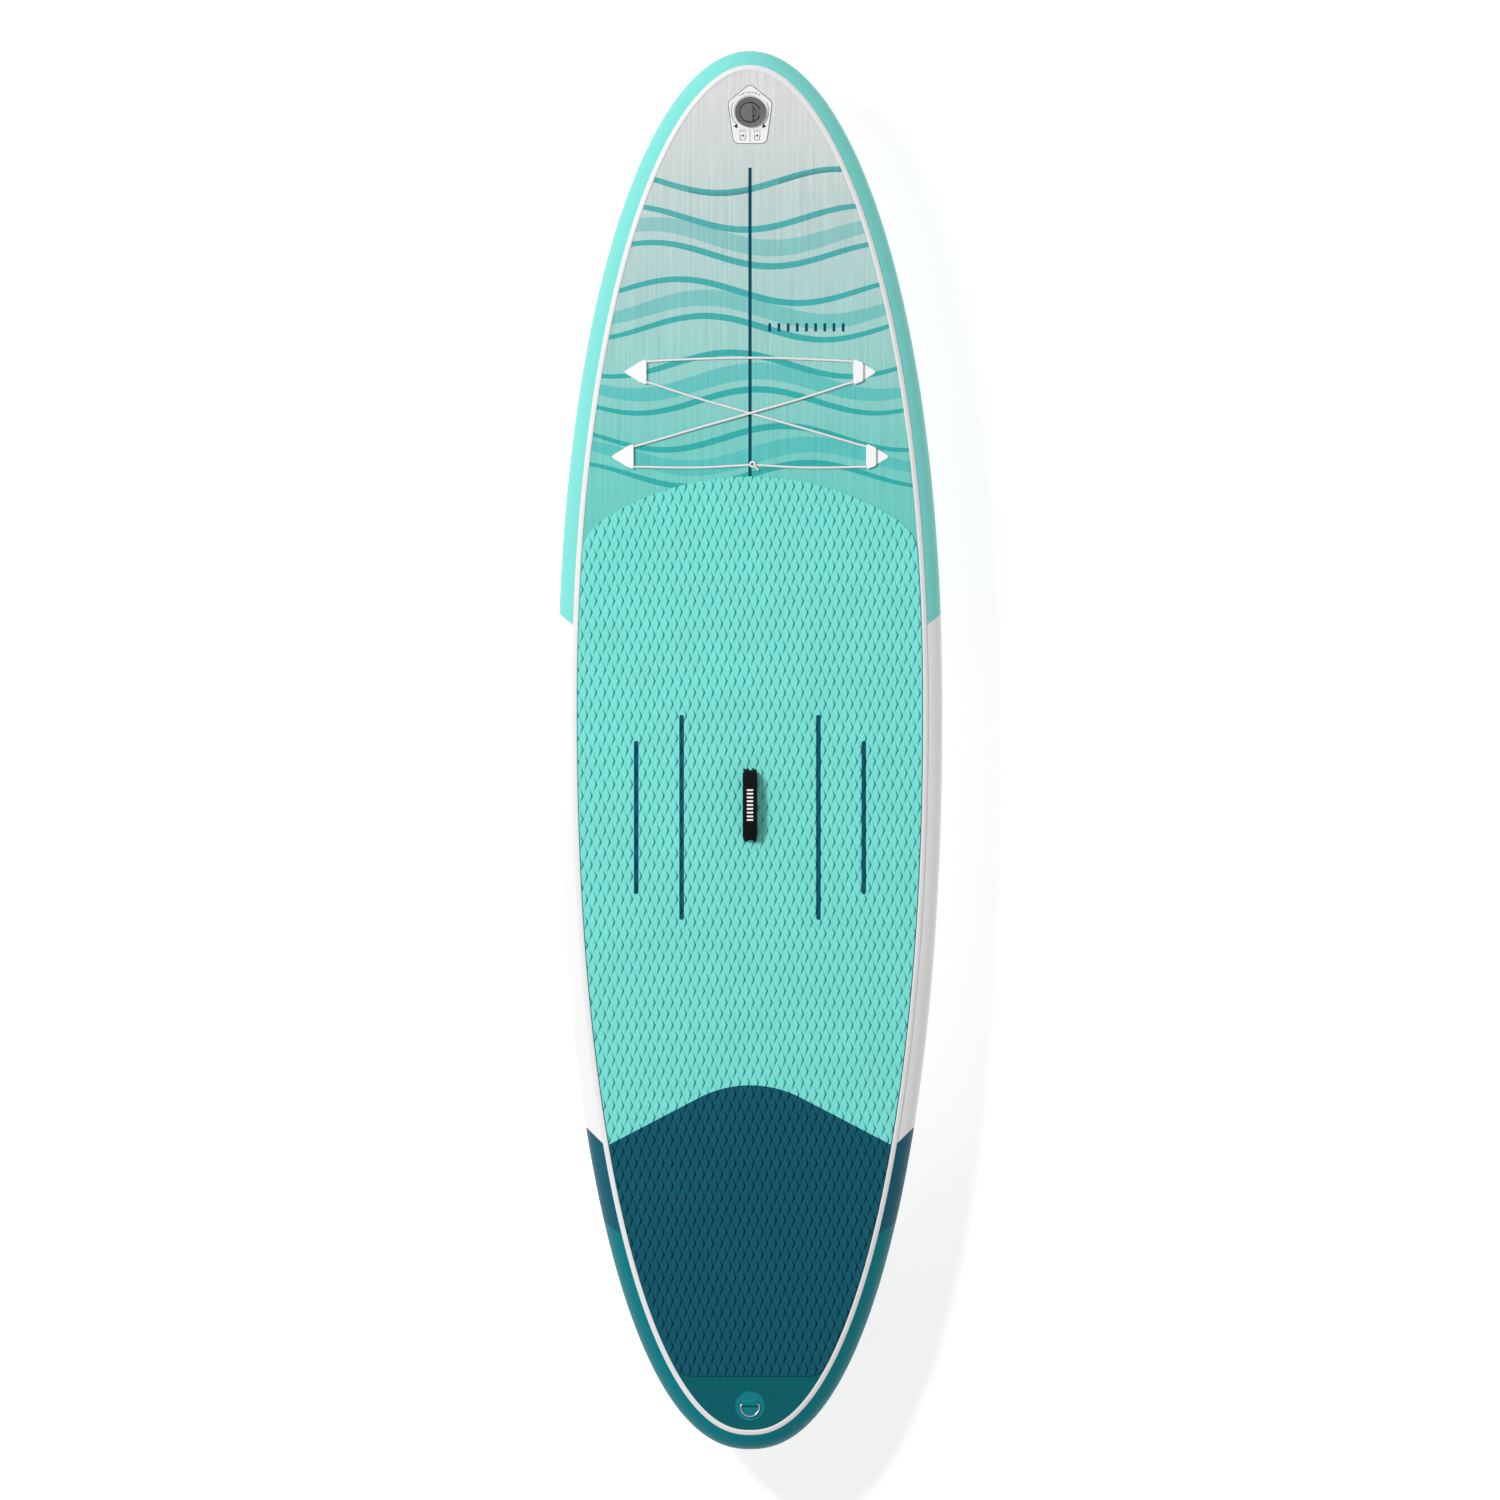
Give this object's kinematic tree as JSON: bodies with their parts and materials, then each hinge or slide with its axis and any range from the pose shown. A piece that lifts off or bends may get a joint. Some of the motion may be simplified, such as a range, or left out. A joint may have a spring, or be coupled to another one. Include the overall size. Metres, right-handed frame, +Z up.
{
  "type": "stand up paddleboard",
  "caption": "Inflatable stand up paddleboard with grooved deck pads, carry handle, deck bungee, inflation valve, leash ring and a removable centre fin.",
  "frame": {"origin": "on the flat of the bottom skin, halfway along the hull, on the centreline", "axes": "+Y to the nose, +X to the right-hand rail, +Z up through the deck"},
  "size_m": [0.839, 3.048, 0.4822],
  "materials": {
    "drop_stitch": "woven polyester faces and yarns",
    "deck_pvc": "coated fabric with fine lengthwise ribs and a printed wave pattern",
    "bottom_pvc": "coated fabric",
    "rail_mint": "satin coated fabric",
    "rail_white": "satin coated fabric",
    "rail_petrol": "satin coated fabric",
    "rail_teal": "satin coated fabric",
    "seam_tape": "satin tape",
    "eva_mint": "grooved foam",
    "eva_petrol": "grooved foam",
    "eva_inlay": "grooved foam",
    "patch_mint": "satin coated fabric",
    "patch_white": "satin coated fabric",
    "webbing_black": "woven webbing",
    "neoprene_black": "knit-faced neoprene",
    "bungee_braid": "braided cover over rubber",
    "valve_label": null,
    "valve_plastic": "moulded",
    "stem_plastic": "moulded",
    "valve_rubber": "moulded",
    "steel": "polished stainless",
    "brass": "turned",
    "fin_box_plastic": "moulded",
    "fin_plastic": "moulded nylon"
  },
  "bodies": {
    "hull": {"drop_stitch_core": "drop_stitch", "deck_skin": "deck_pvc", "bottom_skin": "bottom_pvc", "rail_band_nose": "rail_mint", "rail_band_mid_left": "rail_white", "rail_band_mid_right": "rail_white", "rail_band_aft_left": "rail_petrol", "rail_band_aft_right": "rail_petrol", "rail_band_tail": "rail_teal", "deck_seam_tape": "seam_tape", "bottom_seam_tape": "seam_tape", "deck_pad_main": "eva_mint", "deck_pad_tail": "eva_petrol", "pad_inlay_outer_left": "eva_inlay", "pad_inlay_outer_right": "eva_inlay", "pad_inlay_inner_left": "eva_inlay", "pad_inlay_inner_right": "eva_inlay", "handle_patch_front": "patch_mint", "handle_patch_rear": "patch_mint", "handle_tab_front": "webbing_black", "handle_tab_rear": "webbing_black", "bungee_patch_upper_left": "patch_white", "bungee_keeper_upper_left": "patch_white", "bungee_patch_upper_right": "patch_white", "bungee_keeper_upper_right": "patch_white", "bungee_patch_lower_left": "patch_white", "bungee_keeper_lower_left": "patch_white", "bungee_patch_lower_right": "patch_white", "bungee_keeper_lower_right": "patch_white", "bungee_cord": "bungee_braid", "bungee_knot": "bungee_braid", "valve_surround": "valve_label", "valve_gasket": "valve_rubber", "valve_body": "valve_plastic", "valve_base": "valve_plastic", "valve_spring": "steel", "leash_patch": "rail_teal", "leash_strap": "rail_teal", "fin_box_patch": "patch_white", "fin_box": "fin_box_plastic", "side_fin_base_left": "patch_white", "side_fin_base_right": "patch_white", "side_fin_left": "fin_plastic", "side_fin_right": "fin_plastic"},
    "handle_grip": {"handle_webbing": "webbing_black", "handle_sleeve": "neoprene_black"},
    "cap_carrier": {"valve_cap_seal": "valve_rubber"},
    "cap_knob": {"valve_cap": "valve_plastic"},
    "valve_plunger": {"valve_diaphragm": "valve_rubber"},
    "valve_pin": {"valve_stem": "stem_plastic"},
    "leash_loop": {"leash_ring": "steel"},
    "fin_unit": {"centre_fin": "fin_plastic", "fin_pin": "brass", "fin_plate": "brass"},
    "screw_unit": {"fin_screw": "steel"}
  },
  "joints": [
    {"name": "handle_flop", "type": "hinge", "parent": "hull", "child": "handle_grip", "pos_m": [0, -0.12, 0.1394], "axis": [0, 1, 0], "range_deg": [-40, 40]},
    {"name": "valve_cap_lift", "type": "slide", "parent": "hull", "child": "cap_carrier", "axis": [0, -0.2184, 0.9759], "range_m": [0, 0.03]},
    {"name": "valve_cap_turn", "type": "hinge", "parent": "cap_carrier", "child": "cap_knob", "pos_m": [0, 1.392, 0.23893], "axis": [0, -0.2184, 0.9759], "range_deg": [0, 90]},
    {"name": "valve_push", "type": "slide", "parent": "hull", "child": "valve_plunger", "axis": [0, 0.2184, -0.9759], "range_m": [0, 0.005], "stiffness_N_per_m": 600, "springref_m": -0.003, "deforming": ["valve_spring"]},
    {"name": "valve_stem_turn", "type": "hinge", "parent": "valve_plunger", "child": "valve_pin", "pos_m": [0, 1.392, 0.23893], "axis": [0, -0.2184, 0.9759], "range_deg": [0, 90]},
    {"name": "leash_ring_swing", "type": "hinge", "parent": "hull", "child": "leash_loop", "pos_m": [0, -1.4265, 0.13355], "axis": [-1, 0, 0], "range_deg": [0, 150]},
    {"name": "fin_slide", "type": "slide", "parent": "hull", "child": "fin_unit", "axis": [0, 1, 0], "range_m": [-0.028, 0.028]},
    {"name": "fin_screw_turn", "type": "hinge", "parent": "fin_unit", "child": "screw_unit", "pos_m": [0, -1.122, -0.02], "axis": [0, 0, 1], "continuous": true}
  ]
}
